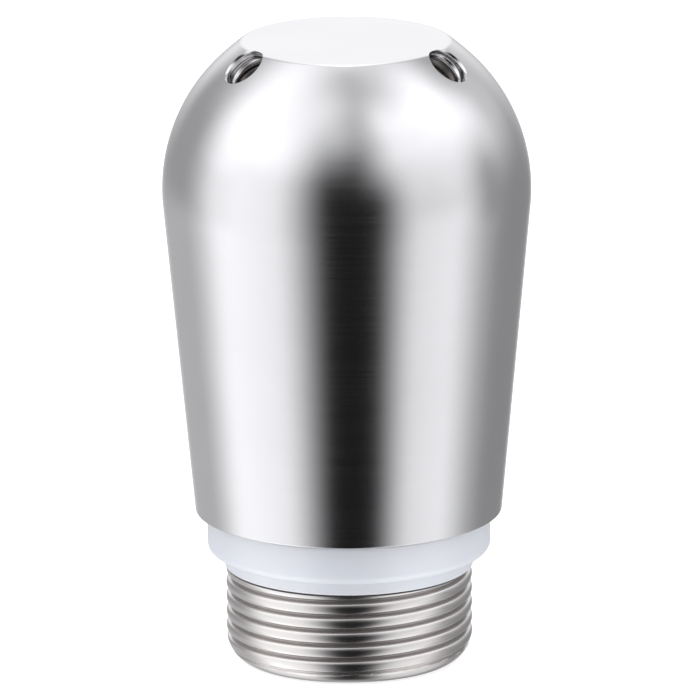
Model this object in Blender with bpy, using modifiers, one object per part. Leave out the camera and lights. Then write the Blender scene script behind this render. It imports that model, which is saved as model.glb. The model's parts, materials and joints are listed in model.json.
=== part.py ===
"""Self-rotating open sprinkler head.

A hollow spindle is screwed into a threaded adaptor, and a bullet-shaped shell spins on it in two
ball bearings. Water enters through the strainer, rises in the spindle, fills the chamber under the
flat top and leaves through three skewed jets, whose reaction turns the head.

The axis is Z, with the inlet end at z = 0 and the flat top upwards. Lengths are in metres.
"""

import math

import bmesh
import bpy
from mathutils import Matrix, Vector

MM = 0.001

# Facets round a full turn, fine for what shows and coarser inside.
SHELL_FACETS = 48
RING_FACETS = 36
INNER_FACETS = 24
SMALL_FACETS = 12
SHARP_ANGLE = math.radians(32)

HEXAGON_SIDES = 6
WIRE_SIDES = 6

# Running and seating gap between neighbouring solids.
GAP = 0.3 * MM

# How far a cutter runs past the face it opens.
CUT_CLEARANCE = 2.0 * MM

# Pipe thread M33 x 2 on the adaptor, with the metric thread's depth and crest in pitches.
THREAD_RADIUS = 16.5 * MM
THREAD_PITCH = 2.0 * MM
THREAD_DEPTH_IN_PITCHES = 0.6134
THREAD_CREST_IN_PITCHES = 0.125
THREAD_FLANK_ANGLE = math.radians(30)
THREAD_ROOT_RADIUS = THREAD_RADIUS - THREAD_DEPTH_IN_PITCHES * THREAD_PITCH
THREAD_START = math.radians(-37)
THREAD_TOP = 12.7 * MM
THREAD_END_RADIUS = 14.78 * MM
THREAD_CHAMFER_HEIGHT = 2.1 * MM
THREAD_FACETS = 27
THREAD_RUN_OUT = 7
RIDGE_ROOT_SINK = 0.37 * MM

# Adaptor: neck above the thread, hexagon socket below, bore for the spindle's tail.
NECK_RADIUS = 14.2 * MM
NECK_TOP = 20.0 * MM
HEX_SOCKET_ACROSS_FLATS = 20.0 * MM
HEX_SOCKET_DEPTH = 7.0 * MM
SOCKET_MOUTH_RADIUS = 12.1 * MM
SOCKET_MOUTH_DEPTH = 1.1 * MM
TAIL_BORE_RADIUS = 9.3 * MM
TAIL_BORE_BOTTOM = 9.4 * MM
STRAINER_BORE_RADIUS = 9.8 * MM
SNAP_GROOVE_RADIUS = 10.5 * MM
SNAP_GROOVE_BOTTOM = 7.2 * MM
SNAP_GROOVE_TOP = 8.3 * MM

# Strainer disc and the snap ring under it.
STRAINER_RADIUS = 9.5 * MM
STRAINER_BOTTOM = 8.5 * MM
STRAINER_THICKNESS = 0.6 * MM
STRAINER_HOLE_RADIUS = 0.9 * MM
STRAINER_HOLE_PITCH = 3.2 * MM
STRAINER_HOLE_ROWS = 2
STRAINER_HOLE_FACETS = 8
SNAP_RING_INNER = 9.0 * MM
SNAP_RING_OUTER = 10.2 * MM
SNAP_RING_BOTTOM = 7.45 * MM
SNAP_RING_THICKNESS = 0.6 * MM
SNAP_RING_SLOT = 4.0 * MM

# White wear ring round the neck: a flange over a collar.
WEAR_RING_BORE = NECK_RADIUS + GAP
WEAR_COLLAR_RADIUS = 16.7 * MM
WEAR_COLLAR_BOTTOM = THREAD_TOP + GAP
WEAR_FLANGE_RADIUS = 18.98 * MM
WEAR_FLANGE_BOTTOM = 14.6 * MM
WEAR_FLANGE_ROUND = 1.1 * MM
WEAR_RING_TOP = 19.8 * MM
WEAR_TOP_BREAK = 0.25 * MM

# Shell outside: a straight taper, a side arc and a shoulder arc up to the flat top.
SHELL_BOTTOM = 20.13 * MM
SHELL_BOTTOM_RADIUS = 20.56 * MM
SHELL_EDGE_BREAK = 0.25 * MM
SHELL_TAPER = math.radians(5.36)
SIDE_ARC_RADIUS = 24.02 * MM
SIDE_ARC_CENTRE = Vector((0.586 * MM, 64.41 * MM))
SHOULDER_ARC_START = math.radians(45.31)
SHOULDER_ARC_RADIUS = 34.97 * MM
FLAT_TOP_RADIUS = 13.84 * MM
SIDE_ARC_STEPS = 7
SHOULDER_ARC_STEPS = 2

# Shell inside: gland mouth, bearing bore, shoulder and water chamber.
SHELL_MOUTH_RADIUS = 17.3 * MM
SHELL_MOUTH_TOP = 29.4 * MM
BEARING_BORE_RADIUS = 16.2 * MM
BORE_SHOULDER = 59.9 * MM
CHAMBER_RADIUS = 14.4 * MM
CHAMBER_TOP = 73.0 * MM

# Spray ports, square to the shoulder arc, and the jets screwed into them.
PORT_COUNT = 3
PORT_CENTRE_RADIUS = 15.7 * MM
PORT_RADIUS = 2.85 * MM
PORT_DEPTH = 8.6 * MM
PORT_PASSAGE_RADIUS = 1.5 * MM
PORT_PASSAGE_DEPTH = 15.0 * MM
JET_RADIUS = PORT_RADIUS - GAP
JET_TOP_DEPTH = 3.0 * MM
JET_BOTTOM_DEPTH = 7.2 * MM
JET_SOCKET_ACROSS_FLATS = 2.6 * MM
JET_SOCKET_DEPTH = 1.8 * MM
JET_ORIFICE_RADIUS = 0.9 * MM
JET_SKEW = math.radians(12)
JET_O_RING_DEPTH = 7.9 * MM
JET_O_RING_RADIUS = 2.05 * MM
JET_O_RING_WIRE = 0.38 * MM

# Spindle that the head turns on.
SPINDLE_RADIUS = 10.0 * MM
SPINDLE_BORE = 6.0 * MM
SPINDLE_TAIL_RADIUS = TAIL_BORE_RADIUS - GAP
SPINDLE_TAIL_BOTTOM = 9.7 * MM
SPINDLE_STEP = NECK_TOP + GAP
SPINDLE_COLLAR_RADIUS = 11.9 * MM
SPINDLE_COLLAR_BOTTOM = 27.8 * MM
SPINDLE_COLLAR_TOP = 29.2 * MM
SPINDLE_NUT_RADIUS = 8.5 * MM
SPINDLE_NUT_STEP = 58.3 * MM
SPINDLE_TOP = 67.5 * MM
SPINDLE_BREAK = 0.6 * MM
SPINDLE_GROOVE_RADIUS = 7.8 * MM
SPINDLE_GROOVE_BOTTOM = 16.0 * MM
SPINDLE_GROOVE_TOP = 18.2 * MM
SPINDLE_O_RING_RADIUS = 8.55 * MM
SPINDLE_O_RING_WIRE = 0.55 * MM

# Two deep-groove ball bearings, 20 x 32 x 7.
BEARING_CENTRES = {"lower": 33.0 * MM, "upper": 55.0 * MM}
BEARING_WIDTH = 7.0 * MM
INNER_RING_BORE = SPINDLE_RADIUS + GAP
INNER_RING_RADIUS = 11.8 * MM
OUTER_RING_BORE = 14.3 * MM
OUTER_RING_RADIUS = BEARING_BORE_RADIUS - GAP
BALL_RADIUS = 1.75 * MM
BALL_PITCH_RADIUS = 13.0 * MM
BALL_COUNT = 11
BALL_CLEARANCE = 0.22 * MM
BALL_FACETS = 8
BALL_ROWS = 6
GROOVE_STEPS = 4
CAGE_INNER_RADIUS = 12.35 * MM
CAGE_OUTER_RADIUS = 13.7 * MM
CAGE_HALF_HEIGHT = 2.6 * MM
CAGE_WINDOW_RADIUS = 2.0 * MM
CAGE_WINDOW_FACETS = 8

# Sleeves between the bearings, and what clamps the rings.
SPACER_WALL = 1.3 * MM
LOCK_WASHER_BOTTOM = 58.8 * MM
LOCK_WASHER_THICKNESS = 0.8 * MM
LOCK_WASHER_RADIUS = 13.2 * MM
LOCK_WASHER_NOTCHES = 5
LOCK_WASHER_NOTCH_WIDTH = 4.5 * MM
LOCK_WASHER_NOTCH_DEPTH = 1.2 * MM
LOCK_NUT_BORE = SPINDLE_NUT_RADIUS + GAP
LOCK_NUT_RADIUS = 12.5 * MM
LOCK_NUT_BOTTOM = LOCK_WASHER_BOTTOM + LOCK_WASHER_THICKNESS + GAP
LOCK_NUT_HEIGHT = 5.0 * MM
LOCK_NUT_BREAK = 0.7 * MM
LOCK_NUT_SLOTS = 4
LOCK_NUT_SLOT_WIDTH = 4.0 * MM
LOCK_NUT_SLOT_DEPTH = 2.0 * MM
WAVE_WASHER_MIDDLE = 59.2 * MM
WAVE_WASHER_THICKNESS = 0.3 * MM
WAVE_WASHER_RISE = 0.25 * MM
WAVE_WASHER_WAVES = 4

# Gland ring screwed into the shell's mouth, with the running seal inside it.
GLAND_RADIUS = SHELL_MOUTH_RADIUS - GAP
GLAND_BOTTOM = 20.6 * MM
GLAND_TOP = 29.1 * MM
GLAND_BORE = 10.8 * MM
GLAND_FLOOR_TOP = 22.2 * MM
GLAND_POCKET_RADIUS = 14.3 * MM
GLAND_GROOVE_RADIUS = 15.6 * MM
GLAND_GROOVE_BOTTOM = 25.0 * MM
GLAND_GROOVE_TOP = 27.4 * MM
GLAND_O_RING_RADIUS = 16.4 * MM
GLAND_O_RING_WIRE = 0.65 * MM
SPANNER_HOLES = 4
SPANNER_HOLE_CIRCLE = 15.6 * MM
SPANNER_HOLE_RADIUS = 0.9 * MM
SPANNER_HOLE_DEPTH = 3.0 * MM
SEAL_RADIUS = GLAND_POCKET_RADIUS - GAP
SEAL_BOTTOM = GLAND_FLOOR_TOP + GAP
SEAL_HEIGHT = 4.8 * MM
SEAL_WALL = 1.1 * MM
SEAL_LIP_RADIUS = SPINDLE_RADIUS + GAP
SEAL_LIP_THICKNESS = 1.1 * MM
SEAL_LIP_TOP_DROP = 0.9 * MM
GARTER_RADIUS = 12.15 * MM
GARTER_WIRE = 0.38 * MM
GARTER_DROP = 1.6 * MM

# Colour, roughness and metallic value of each material.
MATERIALS = {
    "shell_steel": ((0.78, 0.78, 0.80), 0.26, 1.0),
    "stem_nickel": ((0.74, 0.70, 0.67), 0.24, 1.0),
    "ring_plastic": ((0.84, 0.87, 0.93), 0.35, 0.0),
    "bearing_steel": ((0.70, 0.71, 0.73), 0.12, 1.0),
    "cage_nylon": ((0.82, 0.78, 0.66), 0.50, 0.0),
    "gland_bronze": ((0.72, 0.50, 0.28), 0.30, 1.0),
    "seal_rubber": ((0.03, 0.03, 0.03), 0.65, 0.0),
}


def clear_scene():
    for old_object in list(bpy.data.objects):
        bpy.data.objects.remove(old_object, do_unlink=True)


def new_collection(name):
    collection = bpy.data.collections.new(name)
    bpy.context.scene.collection.children.link(collection)
    return collection


def make_materials():
    made = {}
    for name, (colour, roughness, metallic) in MATERIALS.items():
        material = bpy.data.materials.new(name)
        material.use_nodes = True
        shader = material.node_tree.nodes["Principled BSDF"]
        shader.inputs["Base Color"].default_value = (*colour, 1.0)
        shader.inputs["Roughness"].default_value = roughness
        shader.inputs["Metallic"].default_value = metallic
        made[name] = material
    return made


def shade(mesh):
    mesh.shade_smooth()
    mesh.set_sharp_from_angle(angle=SHARP_ANGLE)


def add_object(name, mesh, material=None, parent=None):
    """Put a mesh in the scene: a part when it has a material, otherwise a cutter."""
    placed = bpy.data.objects.new(name, mesh)
    if material:
        mesh.materials.clear()
        mesh.materials.append(material)
        parts.objects.link(placed)
    else:
        placed.hide_render = True
        placed.display_type = "WIRE"
        cutters.objects.link(placed)
    placed.parent = parent
    return placed


def turned_mesh(name, profile, facets):
    """Turn a profile of (radius, height) points round Z.

    The points run down the outside and back up the inside. The loop closes unless it starts and
    ends on the axis.
    """
    outline = bpy.data.meshes.new(name + "_profile")
    count = len(profile)
    edges = [(index, index + 1) for index in range(count - 1)]
    on_axis = profile[0][0] == 0.0
    if not on_axis:
        edges.append((count - 1, 0))
    outline.from_pydata([(radius, 0.0, height) for radius, height in profile], edges, [])
    guide = bpy.data.objects.new(name + "_profile", outline)
    cutters.objects.link(guide)
    screw = guide.modifiers.new("turn", "SCREW")
    screw.axis = "Z"
    screw.angle = math.tau
    screw.steps = facets
    screw.render_steps = facets
    screw.use_merge_vertices = True
    screw.merge_threshold = 0.00001
    mesh = bpy.data.meshes.new_from_object(guide.evaluated_get(bpy.context.evaluated_depsgraph_get()))
    mesh.name = name
    bpy.data.objects.remove(guide)
    shade(mesh)
    return mesh


def turned_part(name, profile, facets, material, parent=None):
    return add_object(name, turned_mesh(name, profile, facets), material, parent)


def box_profile(inner, outer, bottom, top, edge_break=0.0):
    """Rectangular ring section, with its two outer corners broken when edge_break is given."""
    if edge_break:
        outside = [
            (outer - edge_break, top),
            (outer, top - edge_break),
            (outer, bottom + edge_break),
            (outer - edge_break, bottom),
        ]
    else:
        outside = [(outer, top), (outer, bottom)]
    return outside + [(inner, bottom), (inner, top)]


def arc_points(centre, radius, start, end, steps):
    """Points of an arc from one angle above the horizontal to another, both ends included."""
    points = []
    for step in range(steps + 1):
        angle = start + (end - start) * step / steps
        points.append((centre[0] + radius * math.cos(angle), centre[1] + radius * math.sin(angle)))
    return points


def torus_part(name, radius, wire, height, facets, material, parent=None):
    last = math.pi / 2 - math.tau * (WIRE_SIDES - 1) / WIRE_SIDES
    profile = arc_points((radius, height), wire, math.pi / 2, last, WIRE_SIDES - 1)
    return turned_part(name, profile, facets, material, parent)


def mesh_from(name, build):
    """Fill a bmesh with one builder function and return it as a mesh."""
    shape = bmesh.new()
    build(shape)
    bmesh.ops.recalc_face_normals(shape, faces=shape.faces)
    mesh = bpy.data.meshes.new(name)
    shape.to_mesh(mesh)
    shape.free()
    return mesh


def add_prism(shape, radius, bottom, top, sides, place=Matrix.Identity(4), top_radius=None):
    """Add a round, cut-off cone or many-sided bar between two heights, then move it into place."""
    middle = Matrix.Translation((0.0, 0.0, (bottom + top) / 2))
    bmesh.ops.create_cone(
        shape,
        cap_ends=True,
        segments=sides,
        radius1=radius,
        radius2=radius if top_radius is None else top_radius,
        depth=top - bottom,
        matrix=place @ middle,
    )


def add_block(shape, size, place):
    bmesh.ops.create_cube(shape, size=1.0, matrix=place @ Matrix.Diagonal((*size, 1.0)))


def spread(count):
    """Rotations that space count features evenly round Z."""
    return [Matrix.Rotation(math.tau * index / count, 4, "Z") for index in range(count)]


def apply_boolean(target, tool, operation):
    boolean = target.modifiers.new(tool.name, "BOOLEAN")
    boolean.operation = operation
    boolean.solver = "EXACT"
    boolean.object = tool
    return boolean


def cut(target, name, build):
    apply_boolean(target, add_object(name, mesh_from(name, build)), "DIFFERENCE")


# The adaptor and what it holds


def thread_ridge_mesh():
    """Helical ridge of the thread, lofted through sections that shrink at the end chamfer.

    The ridge rises out of the core at both ends, so its sections are unlike each other.
    """
    flank = math.tan(THREAD_FLANK_ANGLE)
    foot = THREAD_ROOT_RADIUS - RIDGE_ROOT_SINK
    crest_half = THREAD_CREST_IN_PITCHES * THREAD_PITCH / 2
    foot_half = crest_half + (THREAD_RADIUS - foot) * flank
    turns = (THREAD_TOP - 2 * foot_half) / THREAD_PITCH
    steps = int(turns * THREAD_FACETS)

    def build(shape):
        loops = []
        for step in range(steps + 1):
            turn = step / THREAD_FACETS
            height = foot_half + THREAD_PITCH * turn
            fade = min(1.0, (step + 1) / THREAD_RUN_OUT, (steps + 1 - step) / THREAD_RUN_OUT)
            crest = foot + (min(THREAD_RADIUS, chamfer_radius(height)) - foot) * fade
            half = foot_half - (crest - foot) * flank
            angle = THREAD_START + math.tau * turn
            loops.append([
                shape.verts.new((radius * math.cos(angle), radius * math.sin(angle), height + rise))
                for radius, rise in ((crest, half), (crest, -half), (foot, -foot_half), (foot, foot_half))
            ])
        shape.faces.new(loops[0])
        shape.faces.new(loops[-1])
        for below, above in zip(loops, loops[1:]):
            for corner in range(4):
                following = (corner + 1) % 4
                shape.faces.new((below[corner], below[following], above[following], above[corner]))

    return mesh_from("thread_ridge", build)


def chamfer_radius(height):
    """Radius of the cone that chamfers the thread's end, at a height above the end face."""
    slope = (THREAD_RADIUS - THREAD_END_RADIUS) / THREAD_CHAMFER_HEIGHT
    return THREAD_END_RADIUS + slope * height


def make_threaded_adaptor(material):
    root_chamfer = THREAD_CHAMFER_HEIGHT * (THREAD_ROOT_RADIUS - THREAD_END_RADIUS) / (
        THREAD_RADIUS - THREAD_END_RADIUS
    )
    profile = [
        (NECK_RADIUS, NECK_TOP),
        (NECK_RADIUS, THREAD_TOP),
        (THREAD_ROOT_RADIUS, THREAD_TOP),
        (THREAD_ROOT_RADIUS, root_chamfer),
        (THREAD_END_RADIUS, 0.0),
        (STRAINER_BORE_RADIUS, 0.0),
        (STRAINER_BORE_RADIUS, SNAP_GROOVE_BOTTOM),
        (SNAP_GROOVE_RADIUS, SNAP_GROOVE_BOTTOM),
        (SNAP_GROOVE_RADIUS, SNAP_GROOVE_TOP),
        (STRAINER_BORE_RADIUS, SNAP_GROOVE_TOP),
        (STRAINER_BORE_RADIUS, TAIL_BORE_BOTTOM),
        (TAIL_BORE_RADIUS, TAIL_BORE_BOTTOM),
        (TAIL_BORE_RADIUS, NECK_TOP),
    ]
    adaptor = turned_part("threaded_adaptor", profile, RING_FACETS, material)
    apply_boolean(adaptor, add_object("thread_ridge", thread_ridge_mesh()), "UNION")

    def build_socket(shape):
        corner_radius = HEX_SOCKET_ACROSS_FLATS / math.sqrt(3)
        add_prism(shape, corner_radius, -CUT_CLEARANCE, HEX_SOCKET_DEPTH, HEXAGON_SIDES)

    def build_mouth(shape):
        add_prism(
            shape,
            2 * SOCKET_MOUTH_RADIUS - HEX_SOCKET_ACROSS_FLATS / 2,
            -SOCKET_MOUTH_DEPTH,
            SOCKET_MOUTH_DEPTH,
            INNER_FACETS,
            top_radius=HEX_SOCKET_ACROSS_FLATS / 2,
        )

    cut(adaptor, "hexagon_socket", build_socket)
    cut(adaptor, "socket_mouth", build_mouth)


def make_strainer(material):
    profile = [
        (0.0, STRAINER_BOTTOM + STRAINER_THICKNESS),
        (STRAINER_RADIUS, STRAINER_BOTTOM + STRAINER_THICKNESS),
        (STRAINER_RADIUS, STRAINER_BOTTOM),
        (0.0, STRAINER_BOTTOM),
    ]
    strainer = turned_part("inlet_strainer", profile, INNER_FACETS, material)

    def build_holes(shape):
        rows = STRAINER_HOLE_ROWS
        for row in range(-rows, rows + 1):
            first = max(-rows, -row - rows)
            last = min(rows, -row + rows)
            for column in range(first, last + 1):
                across = STRAINER_HOLE_PITCH * (column + row / 2)
                along = STRAINER_HOLE_PITCH * row * math.sqrt(3) / 2
                add_prism(
                    shape,
                    STRAINER_HOLE_RADIUS,
                    STRAINER_BOTTOM - CUT_CLEARANCE,
                    STRAINER_BOTTOM + STRAINER_THICKNESS + CUT_CLEARANCE,
                    STRAINER_HOLE_FACETS,
                    Matrix.Translation((across, along, 0.0)),
                )

    cut(strainer, "strainer_holes", build_holes)


def make_snap_ring(material):
    top = SNAP_RING_BOTTOM + SNAP_RING_THICKNESS
    profile = box_profile(SNAP_RING_INNER, SNAP_RING_OUTER, SNAP_RING_BOTTOM, top)
    ring = turned_part("strainer_snap_ring", profile, INNER_FACETS, material)
    middle = Vector((0.0, SNAP_RING_OUTER, SNAP_RING_BOTTOM))
    size = (SNAP_RING_SLOT, SNAP_RING_OUTER, 2 * CUT_CLEARANCE)
    cut(ring, "snap_ring_slot", lambda shape: add_block(shape, size, Matrix.Translation(middle)))


def make_wear_ring(material):
    round_centre = (WEAR_FLANGE_RADIUS - WEAR_FLANGE_ROUND, WEAR_FLANGE_BOTTOM + WEAR_FLANGE_ROUND)
    profile = [
        (WEAR_FLANGE_RADIUS - WEAR_TOP_BREAK, WEAR_RING_TOP),
        (WEAR_FLANGE_RADIUS, WEAR_RING_TOP - WEAR_TOP_BREAK),
        *arc_points(round_centre, WEAR_FLANGE_ROUND, 0.0, -math.pi / 2, 3),
        (WEAR_COLLAR_RADIUS, WEAR_FLANGE_BOTTOM),
        (WEAR_COLLAR_RADIUS, WEAR_COLLAR_BOTTOM),
        (WEAR_RING_BORE, WEAR_COLLAR_BOTTOM),
        (WEAR_RING_BORE, WEAR_RING_TOP),
    ]
    turned_part("wear_ring", profile, RING_FACETS, material)


def make_spindle(material):
    profile = [
        (SPINDLE_NUT_RADIUS - SPINDLE_BREAK, SPINDLE_TOP),
        (SPINDLE_NUT_RADIUS, SPINDLE_TOP - SPINDLE_BREAK),
        (SPINDLE_NUT_RADIUS, SPINDLE_NUT_STEP),
        (SPINDLE_RADIUS, SPINDLE_NUT_STEP),
        (SPINDLE_RADIUS, SPINDLE_COLLAR_TOP),
        (SPINDLE_COLLAR_RADIUS, SPINDLE_COLLAR_TOP),
        (SPINDLE_COLLAR_RADIUS, SPINDLE_COLLAR_BOTTOM),
        (SPINDLE_RADIUS, SPINDLE_COLLAR_BOTTOM),
        (SPINDLE_RADIUS, SPINDLE_STEP),
        (SPINDLE_TAIL_RADIUS, SPINDLE_STEP),
        (SPINDLE_TAIL_RADIUS, SPINDLE_GROOVE_TOP),
        (SPINDLE_GROOVE_RADIUS, SPINDLE_GROOVE_TOP),
        (SPINDLE_GROOVE_RADIUS, SPINDLE_GROOVE_BOTTOM),
        (SPINDLE_TAIL_RADIUS, SPINDLE_GROOVE_BOTTOM),
        (SPINDLE_TAIL_RADIUS, SPINDLE_TAIL_BOTTOM),
        (SPINDLE_BORE, SPINDLE_TAIL_BOTTOM),
        (SPINDLE_BORE, SPINDLE_TOP),
    ]
    turned_part("spindle", profile, INNER_FACETS, material)


# The bearings


def make_bearing(side, materials, head, ball_train):
    """Inner ring on the spindle, outer ring in the shell, cage and balls between them."""
    middle = BEARING_CENTRES[side]
    bottom = middle - BEARING_WIDTH / 2
    top = middle + BEARING_WIDTH / 2
    groove = BALL_RADIUS + BALL_CLEARANCE
    inner_reach = math.acos((BALL_PITCH_RADIUS - INNER_RING_RADIUS) / groove)
    outer_reach = math.acos((OUTER_RING_BORE - BALL_PITCH_RADIUS) / groove)
    centre = (BALL_PITCH_RADIUS, middle)
    inner_groove = arc_points(
        centre, groove, math.pi - inner_reach, math.pi + inner_reach, GROOVE_STEPS
    )
    inner_profile = [
        (INNER_RING_RADIUS, top),
        *inner_groove,
        (INNER_RING_RADIUS, bottom),
        (INNER_RING_BORE, bottom),
        (INNER_RING_BORE, top),
    ]
    outer_groove = arc_points(centre, groove, -outer_reach, outer_reach, GROOVE_STEPS)
    outer_profile = [
        (OUTER_RING_RADIUS, top),
        (OUTER_RING_RADIUS, bottom),
        (OUTER_RING_BORE, bottom),
        *outer_groove,
        (OUTER_RING_BORE, top),
    ]
    steel = materials["bearing_steel"]
    turned_part(side + "_bearing_inner_ring", inner_profile, INNER_FACETS, steel)
    turned_part(side + "_bearing_outer_ring", outer_profile, INNER_FACETS, steel, head)

    cage_profile = box_profile(
        CAGE_INNER_RADIUS, CAGE_OUTER_RADIUS, middle - CAGE_HALF_HEIGHT, middle + CAGE_HALF_HEIGHT
    )
    cage_name = side + "_bearing_cage"
    cage = turned_part(cage_name, cage_profile, 2 * BALL_COUNT, materials["cage_nylon"], ball_train)
    outward = Matrix.Translation((0.0, 0.0, middle)) @ Matrix.Rotation(math.pi / 2, 4, "Y")

    def build_windows(shape):
        for turn in spread(BALL_COUNT):
            add_prism(
                shape,
                CAGE_WINDOW_RADIUS,
                CAGE_INNER_RADIUS - CAGE_WINDOW_RADIUS,
                CAGE_OUTER_RADIUS + CAGE_WINDOW_RADIUS,
                CAGE_WINDOW_FACETS,
                turn @ outward,
            )

    cut(cage, side + "_cage_windows", build_windows)

    ball_mesh = mesh_from(
        side + "_ball",
        lambda shape: bmesh.ops.create_uvsphere(
            shape, u_segments=BALL_FACETS, v_segments=BALL_ROWS, radius=BALL_RADIUS
        ),
    )
    ball_mesh.shade_smooth()
    ball_mesh.materials.append(steel)
    for index, turn in enumerate(spread(BALL_COUNT), start=1):
        ball = bpy.data.objects.new(f"{side}_bearing_ball_{index:02d}", ball_mesh)
        ball.parent = ball_train
        ball.location = turn @ Vector((BALL_PITCH_RADIUS, 0.0, middle))
        parts.objects.link(ball)


def make_spacers(material, head):
    bottom = BEARING_CENTRES["lower"] + BEARING_WIDTH / 2 + GAP
    top = BEARING_CENTRES["upper"] - BEARING_WIDTH / 2 - GAP
    inner = box_profile(INNER_RING_BORE, INNER_RING_BORE + SPACER_WALL, bottom, top)
    outer = box_profile(OUTER_RING_RADIUS - SPACER_WALL, OUTER_RING_RADIUS, bottom, top)
    turned_part("inner_spacer_sleeve", inner, INNER_FACETS, material)
    turned_part("outer_spacer_sleeve", outer, INNER_FACETS, material, head)


def make_lock_washer(material):
    top = LOCK_WASHER_BOTTOM + LOCK_WASHER_THICKNESS
    profile = box_profile(LOCK_NUT_BORE, LOCK_WASHER_RADIUS, LOCK_WASHER_BOTTOM, top)
    washer = turned_part("lock_washer", profile, INNER_FACETS, material)
    size = (2 * LOCK_WASHER_NOTCH_DEPTH, LOCK_WASHER_NOTCH_WIDTH, 2 * CUT_CLEARANCE)

    def build_notches(shape):
        for turn in spread(LOCK_WASHER_NOTCHES):
            place = turn @ Matrix.Translation((LOCK_WASHER_RADIUS, 0.0, LOCK_WASHER_BOTTOM))
            add_block(shape, size, place)

    cut(washer, "lock_washer_notches", build_notches)


def make_lock_nut(material):
    top = LOCK_NUT_BOTTOM + LOCK_NUT_HEIGHT
    profile = box_profile(LOCK_NUT_BORE, LOCK_NUT_RADIUS, LOCK_NUT_BOTTOM, top, LOCK_NUT_BREAK)
    nut = turned_part("lock_nut", profile, INNER_FACETS, material)
    height = 2 * (LOCK_NUT_HEIGHT + CUT_CLEARANCE)
    size = (2 * LOCK_NUT_SLOT_DEPTH, LOCK_NUT_SLOT_WIDTH, height)

    def build_slots(shape):
        for turn in spread(LOCK_NUT_SLOTS):
            add_block(shape, size, turn @ Matrix.Translation((LOCK_NUT_RADIUS, 0.0, top)))

    cut(nut, "lock_nut_slots", build_slots)


def make_wave_washer(material, head):
    half = WAVE_WASHER_THICKNESS / 2
    profile = box_profile(
        OUTER_RING_RADIUS - SPACER_WALL,
        OUTER_RING_RADIUS,
        WAVE_WASHER_MIDDLE - half,
        WAVE_WASHER_MIDDLE + half,
    )
    mesh = turned_mesh("preload_wave_washer", profile, INNER_FACETS)
    for corner in mesh.vertices:
        around = math.atan2(corner.co.y, corner.co.x)
        corner.co.z += WAVE_WASHER_RISE * math.sin(WAVE_WASHER_WAVES * around)
    add_object("preload_wave_washer", mesh, material, head)


# The gland and its seals


def make_gland_ring(material, head):
    profile = [
        (GLAND_RADIUS, GLAND_TOP),
        (GLAND_RADIUS, GLAND_GROOVE_TOP),
        (GLAND_GROOVE_RADIUS, GLAND_GROOVE_TOP),
        (GLAND_GROOVE_RADIUS, GLAND_GROOVE_BOTTOM),
        (GLAND_RADIUS, GLAND_GROOVE_BOTTOM),
        (GLAND_RADIUS, GLAND_BOTTOM),
        (GLAND_BORE, GLAND_BOTTOM),
        (GLAND_BORE, GLAND_FLOOR_TOP),
        (GLAND_POCKET_RADIUS, GLAND_FLOOR_TOP),
        (GLAND_POCKET_RADIUS, GLAND_TOP),
    ]
    gland = turned_part("gland_ring", profile, INNER_FACETS, material, head)

    def build_holes(shape):
        for turn in spread(SPANNER_HOLES):
            place = turn @ Matrix.Translation((SPANNER_HOLE_CIRCLE, 0.0, GLAND_BOTTOM))
            add_prism(
                shape, SPANNER_HOLE_RADIUS, -CUT_CLEARANCE, SPANNER_HOLE_DEPTH, SMALL_FACETS, place
            )

    cut(gland, "spanner_holes", build_holes)


def make_lip_seal(materials, head):
    """Seal body with an outer wall, a floor and a lip that a garter spring pulls inwards."""
    top = SEAL_BOTTOM + SEAL_HEIGHT
    lip_top = top - SEAL_LIP_TOP_DROP
    lip_foot = SEAL_LIP_RADIUS + SEAL_LIP_THICKNESS / 2
    floor_top = SEAL_BOTTOM + SEAL_WALL
    lip_back = SEAL_LIP_RADIUS + SEAL_LIP_THICKNESS
    profile = [
        (SEAL_RADIUS, top),
        (SEAL_RADIUS, SEAL_BOTTOM),
        (lip_foot, SEAL_BOTTOM),
        (SEAL_LIP_RADIUS, (SEAL_BOTTOM + lip_top) / 2),
        (lip_foot, lip_top),
        (lip_back, lip_top),
        (lip_back, floor_top),
        (SEAL_RADIUS - SEAL_WALL, floor_top),
        (SEAL_RADIUS - SEAL_WALL, top),
    ]
    turned_part("rotary_lip_seal", profile, INNER_FACETS, materials["seal_rubber"], head)
    torus_part(
        "seal_garter_spring",
        GARTER_RADIUS,
        GARTER_WIRE,
        top - GARTER_DROP,
        INNER_FACETS,
        materials["bearing_steel"],
        head,
    )


# The shell and its jets


def shoulder_arc_centre():
    """The shoulder arc meets the side arc smoothly, so their centres share one normal."""
    normal = Vector((math.cos(SHOULDER_ARC_START), math.sin(SHOULDER_ARC_START)))
    return SIDE_ARC_CENTRE + normal * (SIDE_ARC_RADIUS - SHOULDER_ARC_RADIUS)


def shell_outline():
    """Outside of the shell from the middle of the flat top down to the mouth."""
    centre = shoulder_arc_centre()
    rim = math.acos((FLAT_TOP_RADIUS - centre.x) / SHOULDER_ARC_RADIUS)
    shoulder = arc_points(centre, SHOULDER_ARC_RADIUS, rim, SHOULDER_ARC_START, SHOULDER_ARC_STEPS)
    side = arc_points(
        SIDE_ARC_CENTRE, SIDE_ARC_RADIUS, SHOULDER_ARC_START, -SHELL_TAPER, SIDE_ARC_STEPS
    )
    flat_top = shoulder[0][1]
    return [
        (0.0, flat_top),
        *shoulder,
        *side[1:],
        (SHELL_BOTTOM_RADIUS, SHELL_BOTTOM + SHELL_EDGE_BREAK),
        (SHELL_BOTTOM_RADIUS - SHELL_EDGE_BREAK, SHELL_BOTTOM),
    ]


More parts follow.
